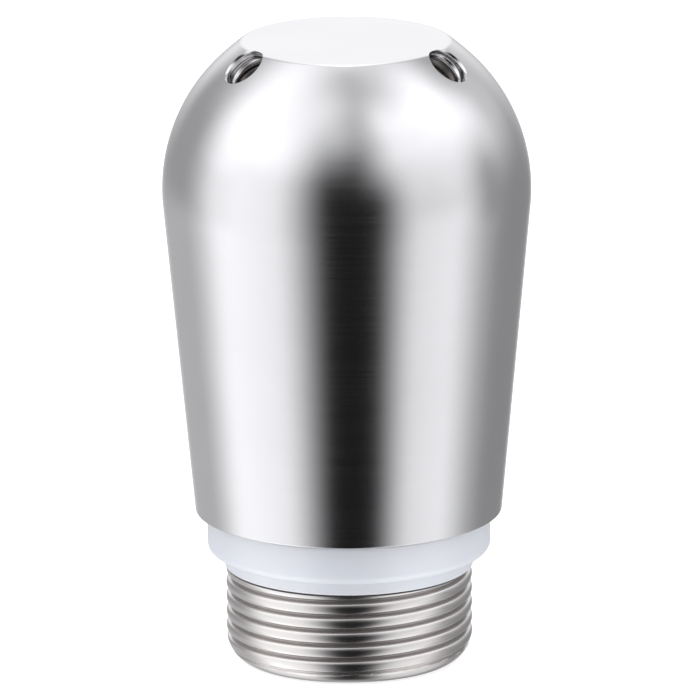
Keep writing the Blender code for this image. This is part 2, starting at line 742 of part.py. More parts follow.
def port_places():
    """Frame of each port: origin on the shoulder arc, Z square to it and out of the shell."""
    centre = shoulder_arc_centre()
    rise = math.acos((PORT_CENTRE_RADIUS - centre.x) / SHOULDER_ARC_RADIUS)
    height = centre.y + SHOULDER_ARC_RADIUS * math.sin(rise)
    lean = Matrix.Rotation(math.pi / 2 - rise, 4, "Y")
    stand = Matrix.Translation((PORT_CENTRE_RADIUS, 0.0, height)) @ lean
    quarter = Matrix.Rotation(math.pi / 2, 4, "Z")
    return [turn @ quarter @ stand for turn in spread(PORT_COUNT)]


def make_head_shell(material, head):
    profile = [
        *shell_outline(),
        (SHELL_MOUTH_RADIUS, SHELL_BOTTOM),
        (SHELL_MOUTH_RADIUS, SHELL_MOUTH_TOP),
        (BEARING_BORE_RADIUS, SHELL_MOUTH_TOP),
        (BEARING_BORE_RADIUS, BORE_SHOULDER),
        (CHAMBER_RADIUS, BORE_SHOULDER),
        (CHAMBER_RADIUS, CHAMBER_TOP),
        (0.0, CHAMBER_TOP),
    ]
    shell = turned_part("head_shell", profile, SHELL_FACETS, material, head)

    def build_ports(shape):
        for place in port_places():
            add_prism(shape, PORT_RADIUS, -PORT_DEPTH, CUT_CLEARANCE, 2 * SMALL_FACETS, place)

    def build_passages(shape):
        overlap = PORT_DEPTH - GAP
        for place in port_places():
            add_prism(
                shape, PORT_PASSAGE_RADIUS, -PORT_PASSAGE_DEPTH, -overlap, SMALL_FACETS, place
            )

    cut(shell, "spray_ports", build_ports)
    cut(shell, "port_passages", build_passages)


def make_jets(materials, head):
    """Each jet has a hexagon socket outside and an orifice skewed round the axis inside."""
    skew = Matrix.Rotation(JET_SKEW, 4, "X")
    socket_floor = -JET_TOP_DEPTH - JET_SOCKET_DEPTH
    pivot = Matrix.Translation((0.0, 0.0, socket_floor))

    def build_body(shape):
        add_prism(shape, JET_RADIUS, -JET_BOTTOM_DEPTH, -JET_TOP_DEPTH, 2 * SMALL_FACETS)

    def build_bore(shape):
        add_prism(
            shape,
            JET_SOCKET_ACROSS_FLATS / math.sqrt(3),
            socket_floor,
            -JET_TOP_DEPTH + CUT_CLEARANCE,
            HEXAGON_SIDES,
        )

    def build_orifice(shape):
        reach = JET_BOTTOM_DEPTH - JET_TOP_DEPTH
        add_prism(shape, JET_ORIFICE_RADIUS, -reach, GAP, SMALL_FACETS, pivot @ skew)

    for index, place in enumerate(port_places(), start=1):
        name = f"jet_insert_{index}"
        jet = add_object(name, mesh_from(name, build_body), materials["stem_nickel"], head)
        shade(jet.data)
        jet.matrix_local = place
        for tool_name, build in (("socket", build_bore), ("orifice", build_orifice)):
            tool = add_object(f"{name}_{tool_name}", mesh_from(f"{name}_{tool_name}", build))
            tool.matrix_world = place
            apply_boolean(jet, tool, "DIFFERENCE")
        seal = torus_part(
            f"jet_o_ring_{index}",
            JET_O_RING_RADIUS,
            JET_O_RING_WIRE,
            -JET_O_RING_DEPTH,
            SMALL_FACETS,
            materials["seal_rubber"],
            head,
        )
        seal.matrix_local = place


def make_axis_empty(name):
    """Empty on the spin axis that carries one turning body."""
    empty = bpy.data.objects.new(name, None)
    parts.objects.link(empty)
    return empty


def make_model():
    materials = make_materials()
    head = make_axis_empty("head_spin_axis")
    ball_trains = {side: make_axis_empty(side + "_ball_train_axis") for side in BEARING_CENTRES}

    make_threaded_adaptor(materials["stem_nickel"])
    make_strainer(materials["bearing_steel"])
    make_snap_ring(materials["bearing_steel"])
    make_wear_ring(materials["ring_plastic"])
    make_spindle(materials["shell_steel"])
    torus_part(
        "spindle_o_ring",
        SPINDLE_O_RING_RADIUS,
        SPINDLE_O_RING_WIRE,
        (SPINDLE_GROOVE_BOTTOM + SPINDLE_GROOVE_TOP) / 2,
        INNER_FACETS,
        materials["seal_rubber"],
    )

    for side in BEARING_CENTRES:
        make_bearing(side, materials, head, ball_trains[side])
    make_spacers(materials["bearing_steel"], head)
    make_lock_washer(materials["bearing_steel"])
    make_lock_nut(materials["bearing_steel"])
    make_wave_washer(materials["bearing_steel"], head)

    make_gland_ring(materials["gland_bronze"], head)
    torus_part(
        "gland_o_ring",
        GLAND_O_RING_RADIUS,
        GLAND_O_RING_WIRE,
        (GLAND_GROOVE_BOTTOM + GLAND_GROOVE_TOP) / 2,
        INNER_FACETS,
        materials["seal_rubber"],
        head,
    )
    make_lip_seal(materials, head)
    make_head_shell(materials["shell_steel"], head)
    make_jets(materials, head)


clear_scene()
parts = new_collection("sprinkler_head")
cutters = new_collection("cutters")
make_model()
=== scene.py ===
"""Looks of the self-rotating sprinkler head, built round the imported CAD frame.

Lengths are in metres. The axis is Z, the front is -Y, and the thread's end face stands at z = 0.
"""

import json
import math

import bpy
from mathutils import Matrix, Vector


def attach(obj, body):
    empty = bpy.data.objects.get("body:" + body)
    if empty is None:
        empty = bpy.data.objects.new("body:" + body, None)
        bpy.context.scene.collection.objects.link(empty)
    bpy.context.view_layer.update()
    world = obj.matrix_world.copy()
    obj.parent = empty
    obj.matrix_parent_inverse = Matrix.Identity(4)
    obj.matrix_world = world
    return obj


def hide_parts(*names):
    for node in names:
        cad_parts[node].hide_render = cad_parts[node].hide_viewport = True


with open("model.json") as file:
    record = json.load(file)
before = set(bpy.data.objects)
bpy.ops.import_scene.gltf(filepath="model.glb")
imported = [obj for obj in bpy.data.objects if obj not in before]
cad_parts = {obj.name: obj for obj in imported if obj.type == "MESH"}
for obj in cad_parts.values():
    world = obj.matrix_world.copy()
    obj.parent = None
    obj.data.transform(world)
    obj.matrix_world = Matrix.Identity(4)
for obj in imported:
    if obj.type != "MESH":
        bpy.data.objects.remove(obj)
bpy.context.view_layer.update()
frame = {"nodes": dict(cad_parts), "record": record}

MM = 0.001

# How finely each outline is divided: facets round a turn, and steps along each arc or row.
FINE_TURN = 256
THREAD_TURN = 180
PORT_TURN = 64
PASSAGE_TURN = 32
FLAT_TOP_SHARES = (0.3, 0.6, 0.85)
RIM_STEPS = 10
SHOULDER_STEPS = 14
SIDE_STEPS = 56
TAPER_ROWS = 12
SHELL_EDGE_STEPS = 5
RING_TOP_STEPS = 5
RING_FLANGE_STEPS = 12
RING_CORNER_STEPS = 6
RING_COLLAR_STEPS = 4
THREAD_ROWS_PER_PITCH = 32
PORT_ROWS_PER_PITCH = 14

# Edges that bend by more than this are drawn sharp.
SHARP_ANGLE = math.radians(38)
THREAD_SHARP_ANGLE = math.radians(55)

# Shell outside, as in the CAD: taper, side arc, shoulder arc, and a rounded rim at the flat top.
SHELL_BOTTOM = 20.13 * MM
SHELL_BOTTOM_RADIUS = 20.56 * MM
SHELL_EDGE_BREAK = 0.3 * MM
SHELL_TAPER = math.radians(5.36)
SIDE_ARC_RADIUS = 24.02 * MM
SIDE_ARC_CENTRE = Vector((0.586 * MM, 64.41 * MM))
SHOULDER_ARC_START = math.radians(45.31)
SHOULDER_ARC_RADIUS = 34.97 * MM
RIM_RADIUS = 13.84 * MM
RIM_ROUND = 1.2 * MM
SHELL_MOUTH_RADIUS = 17.3 * MM
SHELL_MOUTH_TOP = 29.4 * MM
BEARING_BORE_RADIUS = 16.2 * MM
BORE_SHOULDER = 59.9 * MM
CHAMBER_RADIUS = 14.4 * MM
CHAMBER_TOP = 73.0 * MM

# Tapped spray ports.
PORT_COUNT = 3
PORT_CENTRE_RADIUS = 15.7 * MM
PORT_RADIUS = 2.85 * MM
PORT_DEPTH = 8.6 * MM
PORT_THREAD_PITCH = 1.25 * MM
PORT_THREAD_DEPTH = 0.35 * MM
PORT_THREAD_BIAS = 0.75
PORT_MOUTH_DEPTH = 0.6 * MM
# Below this depth the port walls carry painted shade: a dark material stands in for the shade down in the
# port.
PORT_PAINTED_SHADE_DEPTH = 2.0 * MM
PORT_ROUND = 0.7 * MM
PORT_OVERSHOOT = 1.5 * MM
PORT_WALL_REACH = 3.4 * MM
PORT_FLOOR_MARGIN = 0.1 * MM
PASSAGE_RADIUS = 1.5 * MM
PASSAGE_DEPTH = 15.0 * MM
PASSAGE_OVERLAP = 0.2 * MM

# Telling the shell's outside faces from the rest: inside the mouth's radius they lie less than this far
# under the flat top, and their normals agree with the outline's to within this cosine.
INSIDE_DROP = 1.5 * MM
OUTSIDE_AGREEMENT = 0.985

# Least distance from the axis, where a direction outward is still needed.
ON_AXIS = 1e-9

# Adaptor thread M33 x 2 and the solid round it.
THREAD_RADIUS = 16.5 * MM
THREAD_PITCH = 2.0 * MM
THREAD_ROOT_RADIUS = 15.65 * MM
THREAD_TOP = 12.35 * MM
THREAD_END_ROUND = 4.03 * MM
THREAD_END_HEIGHT = 3.3 * MM
THREAD_CREST_HEIGHT = 1.08 * MM
THREAD_CREST_HALF = 0.30
THREAD_GROOVE_HALF = 0.01
THREAD_CROWN = 0.15 * MM
NECK_RADIUS = 14.2 * MM
NECK_TOP = 20.0 * MM
TAIL_BORE_RADIUS = 9.3 * MM
TAIL_BORE_BOTTOM = 9.4 * MM
STRAINER_BORE_RADIUS = 9.8 * MM
SNAP_GROOVE_RADIUS = 10.5 * MM
SNAP_GROOVE_BOTTOM = 7.2 * MM
SNAP_GROOVE_TOP = 8.3 * MM
SOCKET_ACROSS_FLATS = 20.0 * MM
SOCKET_DEPTH = 7.0 * MM
MOUTH_RADIUS = 12.1 * MM
MOUTH_DEPTH = 1.1 * MM

# White ring round the neck: a flange over a collar.
RING_BORE_RADIUS = 14.5 * MM
RING_COLLAR_RADIUS = 16.7 * MM
RING_COLLAR_BOTTOM = 12.6 * MM
RING_COLLAR_ROUND = 0.2 * MM
RING_FLANGE_RADIUS = 18.98 * MM
RING_FLANGE_BOTTOM = 14.6 * MM
RING_FLANGE_ROUND = 1.1 * MM
RING_CORNER_ROUND = 0.4 * MM
RING_TOP = 19.8 * MM
RING_TOP_ROUND = 0.3 * MM


# Meshes


def new_piece(name, vertices, faces):
    mesh = bpy.data.meshes.new(name)
    mesh.from_pydata(vertices, [], faces)
    mesh.validate()
    piece = bpy.data.objects.new(name, mesh)
    bpy.context.scene.collection.objects.link(piece)
    return piece


def shade(piece, angle=SHARP_ANGLE):
    piece.data.shade_smooth()
    piece.data.set_sharp_from_angle(angle=angle)


def arc_points(centre, radius, start, end, steps):
    """Points of an arc from one angle above the horizontal to another, both ends included."""
    angles = [start + (end - start) * step / steps for step in range(steps + 1)]
    return [(centre[0] + radius * math.cos(a), centre[1] + radius * math.sin(a)) for a in angles]


def at_angle(measure, angle):
    """Value of a radius or height that is either a number or a function of the angle."""
    return measure(angle) if callable(measure) else measure


def lathe(name, profile, facets):
    """Turn a closed profile round Z. The points run down the outside and up the inside.

    A profile that starts and ends on the axis closes there. A radius or a height may be a function
    of the angle.
    """
    vertices = []
    rings = []
    for radius, height in profile:
        first = len(vertices)
        if radius == 0.0:
            vertices.append((0.0, 0.0, height))
            rings.append([first] * facets)
            continue
        for step in range(facets):
            angle = math.tau * step / facets
            reach = at_angle(radius, angle)
            level = at_angle(height, angle)
            vertices.append((reach * math.cos(angle), reach * math.sin(angle), level))
        rings.append(list(range(first, first + facets)))
    pairs = list(zip(rings, rings[1:]))
    if profile[0][0] != 0.0:
        pairs.append((rings[-1], rings[0]))
    faces = []
    for upper, lower in pairs:
        for step in range(facets):
            following = (step + 1) % facets
            corners = [upper[step], lower[step], lower[following], upper[following]]
            unique = list(dict.fromkeys(corners))
            if len(unique) > 2:
                faces.append(unique)
    return new_piece(name, vertices, faces)


def cut(piece, tool):
    """Cut the tool's shape out of a piece and remove the tool."""
    modifier = piece.modifiers.new("cut", "BOOLEAN")
    modifier.operation = "DIFFERENCE"
    modifier.solver = "EXACT"
    modifier.object = tool
    bpy.context.view_layer.update()
    evaluated = piece.evaluated_get(bpy.context.evaluated_depsgraph_get())
    mesh = bpy.data.meshes.new_from_object(evaluated)
    piece.modifiers.clear()
    piece.data = mesh
    bpy.data.objects.remove(tool)


# The shell


def shoulder_arc_centre():
    normal = Vector((math.cos(SHOULDER_ARC_START), math.sin(SHOULDER_ARC_START)))
    return SIDE_ARC_CENTRE + normal * (SIDE_ARC_RADIUS - SHOULDER_ARC_RADIUS)


def flat_top_height():
    centre = shoulder_arc_centre()
    rise = math.acos((RIM_RADIUS - centre.x) / SHOULDER_ARC_RADIUS)
    return centre.y + SHOULDER_ARC_RADIUS * math.sin(rise)


def rim_round_centre():
    """Centre of the small arc that touches both the flat top and the shoulder arc."""
    centre = shoulder_arc_centre()
    height = flat_top_height() - RIM_ROUND
    reach = SHOULDER_ARC_RADIUS - RIM_ROUND
    return Vector((centre.x + math.sqrt(reach**2 - (height - centre.y) ** 2), height))


def shell_outline():
    """Outside of the shell, from the middle of the flat top down to the mouth."""
    shoulder = shoulder_arc_centre()
    rim = rim_round_centre()
    rim_angle = math.atan2(rim.y - shoulder.y, rim.x - shoulder.x)
    side_end_radius = SIDE_ARC_CENTRE.x + SIDE_ARC_RADIUS * math.cos(SHELL_TAPER)
    side_end_height = SIDE_ARC_CENTRE.y - SIDE_ARC_RADIUS * math.sin(SHELL_TAPER)
    points = [(0.0, flat_top_height())]
    points += [(rim.x * share, flat_top_height()) for share in FLAT_TOP_SHARES]
    points += arc_points(rim, RIM_ROUND, math.pi / 2, rim_angle, RIM_STEPS)
    points += arc_points(shoulder, SHOULDER_ARC_RADIUS, rim_angle, SHOULDER_ARC_START, SHOULDER_STEPS)[1:]
    points += arc_points(
        SIDE_ARC_CENTRE, SIDE_ARC_RADIUS, SHOULDER_ARC_START, -SHELL_TAPER, SIDE_STEPS
    )[1:]
    for row in range(1, TAPER_ROWS):
        share = row / TAPER_ROWS
        points.append((
            side_end_radius + (SHELL_BOTTOM_RADIUS - side_end_radius) * share,
            side_end_height + (SHELL_BOTTOM + SHELL_EDGE_BREAK - side_end_height) * share,
        ))
    edge = (SHELL_BOTTOM_RADIUS - SHELL_EDGE_BREAK, SHELL_BOTTOM + SHELL_EDGE_BREAK)
    points += arc_points(edge, SHELL_EDGE_BREAK, 0.0, -math.pi / 2, SHELL_EDGE_STEPS)
    return points


def outline_normal(radius, height):
    """Normal of the shell's outside at a point, as (outward, upward)."""
    rim = rim_round_centre()
    shoulder = shoulder_arc_centre()
    blend_height = SIDE_ARC_CENTRE.y + SIDE_ARC_RADIUS * math.sin(SHOULDER_ARC_START)
    rim_direction = (rim - shoulder).normalized()
    rim_end = rim + rim_direction * RIM_ROUND
    if radius <= rim.x:
        return Vector((0.0, 1.0))
    if height >= rim_end.y:
        return (Vector((radius, height)) - rim).normalized()
    if height >= blend_height:
        return (Vector((radius, height)) - shoulder).normalized()
    if height >= SIDE_ARC_CENTRE.y - SIDE_ARC_RADIUS * math.sin(SHELL_TAPER):
        return (Vector((radius, height)) - SIDE_ARC_CENTRE).normalized()
    return Vector((math.cos(SHELL_TAPER), -math.sin(SHELL_TAPER)))


def port_places():
    """Frame of each port: origin on the shoulder arc, Z square to it and out of the shell."""
    centre = shoulder_arc_centre()
    rise = math.acos((PORT_CENTRE_RADIUS - centre.x) / SHOULDER_ARC_RADIUS)
    height = centre.y + SHOULDER_ARC_RADIUS * math.sin(rise)
    lean = Matrix.Rotation(math.pi / 2 - rise, 4, "Y")
    stand = Matrix.Translation((PORT_CENTRE_RADIUS, 0.0, height)) @ lean
    places = []
    for index in range(PORT_COUNT):
        turn = Matrix.Rotation(math.pi / 2 + math.tau * index / PORT_COUNT, 4, "Z")
        places.append(turn @ stand)
    return places


def port_radius_at(depth, around):
    """Radius of the tapped port: coarse thread, plain mouth and a rounded countersink."""
    groove = 0.5 + 0.5 * math.cos(math.tau * (depth / PORT_THREAD_PITCH - around))
    fade = min(1.0, max(0.0, (-depth - PORT_MOUTH_DEPTH) / PORT_THREAD_PITCH))
    radius = PORT_RADIUS + PORT_THREAD_DEPTH * fade * (groove - PORT_THREAD_BIAS)
    rise = max(0.0, depth + PORT_ROUND)
    return radius + rise**2 / (2 * PORT_ROUND)


def port_tool(place, index):
    """Solid of one tapped port, from its floor to just outside the shell."""
    height = PORT_DEPTH + PORT_OVERSHOOT
    rows = round(height / PORT_THREAD_PITCH * PORT_ROWS_PER_PITCH)
    vertices = []
    for row in range(rows + 1):
        depth = -PORT_DEPTH + height * row / rows
        for step in range(PORT_TURN):
            radius = port_radius_at(depth, step / PORT_TURN)
            angle = math.tau * step / PORT_TURN
            vertices.append((radius * math.cos(angle), radius * math.sin(angle), depth))
    faces = [list(range(PORT_TURN))[::-1]]
    for row in range(rows):
        for step in range(PORT_TURN):
            following = (step + 1) % PORT_TURN
            low = row * PORT_TURN
            high = low + PORT_TURN
            faces.append([low + step, low + following, high + following, high + step])
    faces.append(list(range(rows * PORT_TURN, (rows + 1) * PORT_TURN)))
    tool = new_piece(f"port_tool_{index}", vertices, faces)
    tool.data.transform(place)
    return tool


def passage_tool(place, index):
    """Solid of the narrow passage from a port's floor into the chamber."""
    profile = [
        (0.0, -PORT_DEPTH + PASSAGE_OVERLAP),
        (PASSAGE_RADIUS, -PORT_DEPTH + PASSAGE_OVERLAP),
        (PASSAGE_RADIUS, -PASSAGE_DEPTH),
        (0.0, -PASSAGE_DEPTH),
    ]
    tool = lathe(f"passage_tool_{index}", profile, PASSAGE_TURN)
    tool.data.transform(place)
    return tool


def set_outside_normals(shell):
    """Give the shell's outside its true normals, so that reflections stay clean round the ports."""
    mesh = shell.data
    normals = [(0.0, 0.0, 0.0)] * len(mesh.loops)
    for face in mesh.polygons:
        centre = face.center
        radius = math.hypot(centre.x, centre.y)
        if radius < SHELL_MOUTH_RADIUS and centre.z < flat_top_height() - INSIDE_DROP:
            continue
        outward, upward = outline_normal(radius, centre.z)
        expected = Vector((centre.x / radius * outward, centre.y / radius * outward, upward))
        if face.normal.dot(expected) < OUTSIDE_AGREEMENT:
            continue
        for loop_index in face.loop_indices:
            x, y, z = mesh.vertices[mesh.loops[loop_index].vertex_index].co
            distance = max(math.hypot(x, y), ON_AXIS)
            outward, upward = outline_normal(distance, z)
            normals[loop_index] = (x / distance * outward, y / distance * outward, upward)
    mesh.normals_split_custom_set(normals)


def paint_port_wall_shade(shell, port_shade_material):
    """Paint shade on the walls deep in each port: they get the dark bore material, which stands in for
    the shade down in the port.
    """
    shell.data.materials.append(port_shade_material)
    for place in port_places():
        inverse = place.inverted()
        for face in shell.data.polygons:
            local = inverse @ face.center
            deep = -PORT_DEPTH - PORT_FLOOR_MARGIN < local.z < -PORT_PAINTED_SHADE_DEPTH
            if deep and local.xy.length < PORT_WALL_REACH:
                face.material_index = 1


def make_shell(material, port_shade_material):
    profile = shell_outline() + [
        (SHELL_MOUTH_RADIUS, SHELL_BOTTOM),
        (SHELL_MOUTH_RADIUS, SHELL_MOUTH_TOP),
        (BEARING_BORE_RADIUS, SHELL_MOUTH_TOP),
        (BEARING_BORE_RADIUS, BORE_SHOULDER),
        (CHAMBER_RADIUS, BORE_SHOULDER),
        (CHAMBER_RADIUS, CHAMBER_TOP),
        (0.0, CHAMBER_TOP),
    ]
    shell = lathe("head_shell_skin", profile, FINE_TURN)
    for index, place in enumerate(port_places()):
        cut(shell, port_tool(place, index))
        cut(shell, passage_tool(place, index))
    shade(shell)
    set_outside_normals(shell)
    finish_piece(shell, "rotor_head", material, "head_shell")
    # The deep port walls get painted shade.
    paint_port_wall_shade(shell, port_shade_material)


# The adaptor and the white ring


def thread_radius_at(phase):
    """Radius at a share of the pitch from the crest: a crowned crest that runs on into a groove."""
    from_crest = abs((phase + 0.5) % 1.0 - 0.5)
    if from_crest < THREAD_CREST_HALF:
        return THREAD_RADIUS - THREAD_CROWN * (from_crest / THREAD_CREST_HALF) ** 2
    flank = 0.5 - THREAD_CREST_HALF - THREAD_GROOVE_HALF
    share = min(1.0, (from_crest - THREAD_CREST_HALF) / flank)
    eased = share * share * (3 - 2 * share)
    crown_slope = 2 * THREAD_CROWN / THREAD_CREST_HALF * flank
    slope_share = share * (1 - share) ** 2
    groove = THREAD_RADIUS - THREAD_CROWN - THREAD_ROOT_RADIUS
    return THREAD_RADIUS - THREAD_CROWN - crown_slope * slope_share - groove * eased


def thread_end_radius(height):
    """Radius of the rounded end of the thread, tangent to its crests."""
    drop = max(0.0, THREAD_END_HEIGHT - height)
    side = math.sqrt(THREAD_END_ROUND**2 - min(drop, THREAD_END_ROUND) ** 2)
    return THREAD_RADIUS - THREAD_END_ROUND + side


def thread_row(height):
    """Radius round one level of the thread, as a function of the angle."""
    end = thread_end_radius(height)

    def radius_at(angle):
        phase = (height - THREAD_CREST_HEIGHT) / THREAD_PITCH - angle / math.tau
        return min(thread_radius_at(phase), end)

    return radius_at


def socket_radius_at(angle):
    """Radius of the hexagon socket, which has a corner at angle 0."""
    side = math.tau / 6
    return SOCKET_ACROSS_FLATS / 2 / math.cos(angle % side - side / 2)


def mouth_height_at(angle):
    """Height at which the mouth's cone meets the hexagon socket."""
    slope = (MOUTH_RADIUS - SOCKET_ACROSS_FLATS / 2) / MOUTH_DEPTH
    return (MOUTH_RADIUS - socket_radius_at(angle)) / slope


def make_threaded_adaptor(material):
    """Thread, neck, hexagon socket and bores as one grid, closed by how it is made."""
    rows = math.ceil(THREAD_TOP / THREAD_PITCH * THREAD_ROWS_PER_PITCH)
    heights = [THREAD_TOP * (rows - row) / rows for row in range(rows + 1)]
    profile = [
        (NECK_RADIUS, NECK_TOP),
        (NECK_RADIUS, THREAD_TOP),
        *((thread_row(height), height) for height in heights),
        (MOUTH_RADIUS, 0.0),
        (socket_radius_at, mouth_height_at),
        (socket_radius_at, SOCKET_DEPTH),
        (STRAINER_BORE_RADIUS, SOCKET_DEPTH),
        (STRAINER_BORE_RADIUS, SNAP_GROOVE_BOTTOM),
        (SNAP_GROOVE_RADIUS, SNAP_GROOVE_BOTTOM),
        (SNAP_GROOVE_RADIUS, SNAP_GROOVE_TOP),
        (STRAINER_BORE_RADIUS, SNAP_GROOVE_TOP),
        (STRAINER_BORE_RADIUS, TAIL_BORE_BOTTOM),
        (TAIL_BORE_RADIUS, TAIL_BORE_BOTTOM),
        (TAIL_BORE_RADIUS, NECK_TOP),
    ]
    adaptor = lathe("threaded_adaptor_skin", profile, THREAD_TURN)
    shade(adaptor, THREAD_SHARP_ANGLE)
    mesh = adaptor.data
    for edge in mesh.edges:
        if all(mesh.vertices[index].co.z == 0.0 for index in edge.vertices):
            edge.use_edge_sharp = True
    finish_piece(adaptor, "stem", material, "threaded_adaptor")


def make_wear_ring(material):
    """White ring with a rounded flange over a narrower collar, joined by a soft inner corner."""
    top = (RING_FLANGE_RADIUS - RING_TOP_ROUND, RING_TOP - RING_TOP_ROUND)
    flange = (RING_FLANGE_RADIUS - RING_FLANGE_ROUND, RING_FLANGE_BOTTOM + RING_FLANGE_ROUND)
    corner = (RING_COLLAR_RADIUS + RING_CORNER_ROUND, RING_FLANGE_BOTTOM - RING_CORNER_ROUND)
    collar = (RING_COLLAR_RADIUS - RING_COLLAR_ROUND, RING_COLLAR_BOTTOM + RING_COLLAR_ROUND)
    profile = [
        *arc_points(top, RING_TOP_ROUND, math.pi / 2, 0.0, RING_TOP_STEPS),
        *arc_points(flange, RING_FLANGE_ROUND, 0.0, -math.pi / 2, RING_FLANGE_STEPS),
        *arc_points(corner, RING_CORNER_ROUND, math.pi / 2, math.pi, RING_CORNER_STEPS),
        *arc_points(collar, RING_COLLAR_ROUND, 0.0, -math.pi / 2, RING_COLLAR_STEPS),
        (RING_BORE_RADIUS, RING_COLLAR_BOTTOM),
        (RING_BORE_RADIUS, RING_TOP),
    ]
    ring = lathe("wear_ring_skin", profile, FINE_TURN)
    shade(ring)
    finish_piece(ring, "stem", material, "wear_ring")


# Materials

# Noise mostly stays between these two values.
NOISE_LOW = 0.3
NOISE_HIGH = 0.7
BUMP_DISTANCE = 0.02 * MM

TURNED_MOTTLE_SCALE = 90.0
TURNED_WAVER = 60.0
TURNED_ROUGHNESS_SPREAD = 0.03

# Painted shade on the thread: its colour darkens from crest to groove over these radii, standing in for
# the shade in the grooves, and it is left bright on the end round below these heights.
GROOVE_SHADE_RADIUS = 15.8 * MM
CREST_UNSHADED_RADIUS = 16.38 * MM
END_UNSHADED_TOP = 3.6 * MM
END_UNSHADED_BOTTOM = 2.4 * MM
PLATE_MOTTLE_SCALE = 400.0
PLATE_MOTTLE = 0.06
PLATE_LINES = (50.0, 50.0, 7000.0)
PLATE_BUMP = 0.15
PLATE_SHOULDER = 0.75
PLATE_SHOULDER_SHADE = 0.93
GROOVE_ROUGHNESS = 0.36
CREST_ROUGHNESS = 0.23

PLASTIC_ROUGHNESS = 0.28
PLASTIC_SPECULAR = 1.0
PLASTIC_IOR = 1.75
PLASTIC_SUBSURFACE = 0.5
PLASTIC_SUBSURFACE_RADIUS = (0.8, 0.9, 1.0)
PLASTIC_SUBSURFACE_SCALE = 1.6 * MM
PLASTIC_CLOUD_SCALE = 120.0
PLASTIC_DARKER = (0.74, 0.765, 0.825)
PLASTIC_LIGHTER = (0.76, 0.78, 0.83)
PLASTIC_GRAIN_SCALE = 2500.0
PLASTIC_BUMP = 0.12

MOULDED_MOTTLE_SCALE = 150.0
MOULDED_ROUGHNESS_SPREAD = 0.05


def principled(name):
    material = bpy.data.materials.new(name)
    material.use_nodes = True
    tree = material.node_tree
    return material, tree, tree.nodes["Principled BSDF"]


def link(tree, source, target):
    tree.links.new(source, target)


def object_noise(tree, scale, detail, stretch=(1.0, 1.0, 1.0)):
    """Noise in the object's own coordinates, stretched along the axes when asked."""
    place = tree.nodes.new("ShaderNodeTexCoord")
    mapping = tree.nodes.new("ShaderNodeMapping")
    mapping.inputs["Scale"].default_value = stretch
    noise = tree.nodes.new("ShaderNodeTexNoise")
    noise.inputs["Scale"].default_value = scale
    noise.inputs["Detail"].default_value = detail
    link(tree, place.outputs["Object"], mapping.inputs["Vector"])
    link(tree, mapping.outputs["Vector"], noise.inputs["Vector"])
    return noise.outputs["Fac"]


def remap(tree, value, old_low, old_high, new_low, new_high):
    node = tree.nodes.new("ShaderNodeMapRange")
    node.inputs["From Min"].default_value = old_low
    node.inputs["From Max"].default_value = old_high
    node.inputs["To Min"].default_value = new_low
    node.inputs["To Max"].default_value = new_high
    link(tree, value, node.inputs["Value"])
    return node.outputs["Result"]


def colour_ramp(tree, value, stops):
    """Blend between colours at positions from 0 to 1."""
    node = tree.nodes.new("ShaderNodeValToRGB")
    elements = node.color_ramp.elements
    while len(elements) < len(stops):
        elements.new(0.5)
    for element, (position, colour) in zip(elements, stops):
        element.position = position
        element.color = (*colour, 1.0)
    link(tree, value, node.inputs["Fac"])
    return node.outputs["Color"]


def add_bump(tree, shader, height, strength):
    bump = tree.nodes.new("ShaderNodeBump")
    bump.inputs["Strength"].default_value = strength
    bump.inputs["Distance"].default_value = BUMP_DISTANCE
    link(tree, height, bump.inputs["Height"])
    link(tree, bump.outputs["Normal"], shader.inputs["Normal"])


def scaled(colour, factor):
    return tuple(channel * factor for channel in colour)


def mottled_colour(tree, shader, noise, dark, light):
    """Base colour that drifts between two tints with the noise."""
    tint = colour_ramp(tree, noise, ((NOISE_LOW, dark), (NOISE_HIGH, light)))
    link(tree, tint, shader.inputs["Base Color"])


def vary_roughness(tree, shader, noise, middle, spread):
    """Roughness that drifts to either side of its middle value with the noise."""
    polish = remap(tree, noise, NOISE_LOW, NOISE_HIGH, middle - spread, middle + spread)
    link(tree, polish, shader.inputs["Roughness"])


def turned_metal(name, colour, roughness, lines_per_metre, bump, mottle=0.97):
    """Metal with a turned finish: fine rings round Z that vary roughness and height."""
    material, tree, shader = principled(name)
    shader.inputs["Metallic"].default_value = 1.0
    clouds = object_noise(tree, TURNED_MOTTLE_SCALE, 3.0)
    mottled_colour(tree, shader, clouds, scaled(colour, mottle), colour)
    rings = object_noise(tree, 1.0, 4.0, (TURNED_WAVER, TURNED_WAVER, lines_per_metre))
    vary_roughness(tree, shader, rings, roughness, TURNED_ROUGHNESS_SPREAD)
    add_bump(tree, shader, rings, bump)
    return material


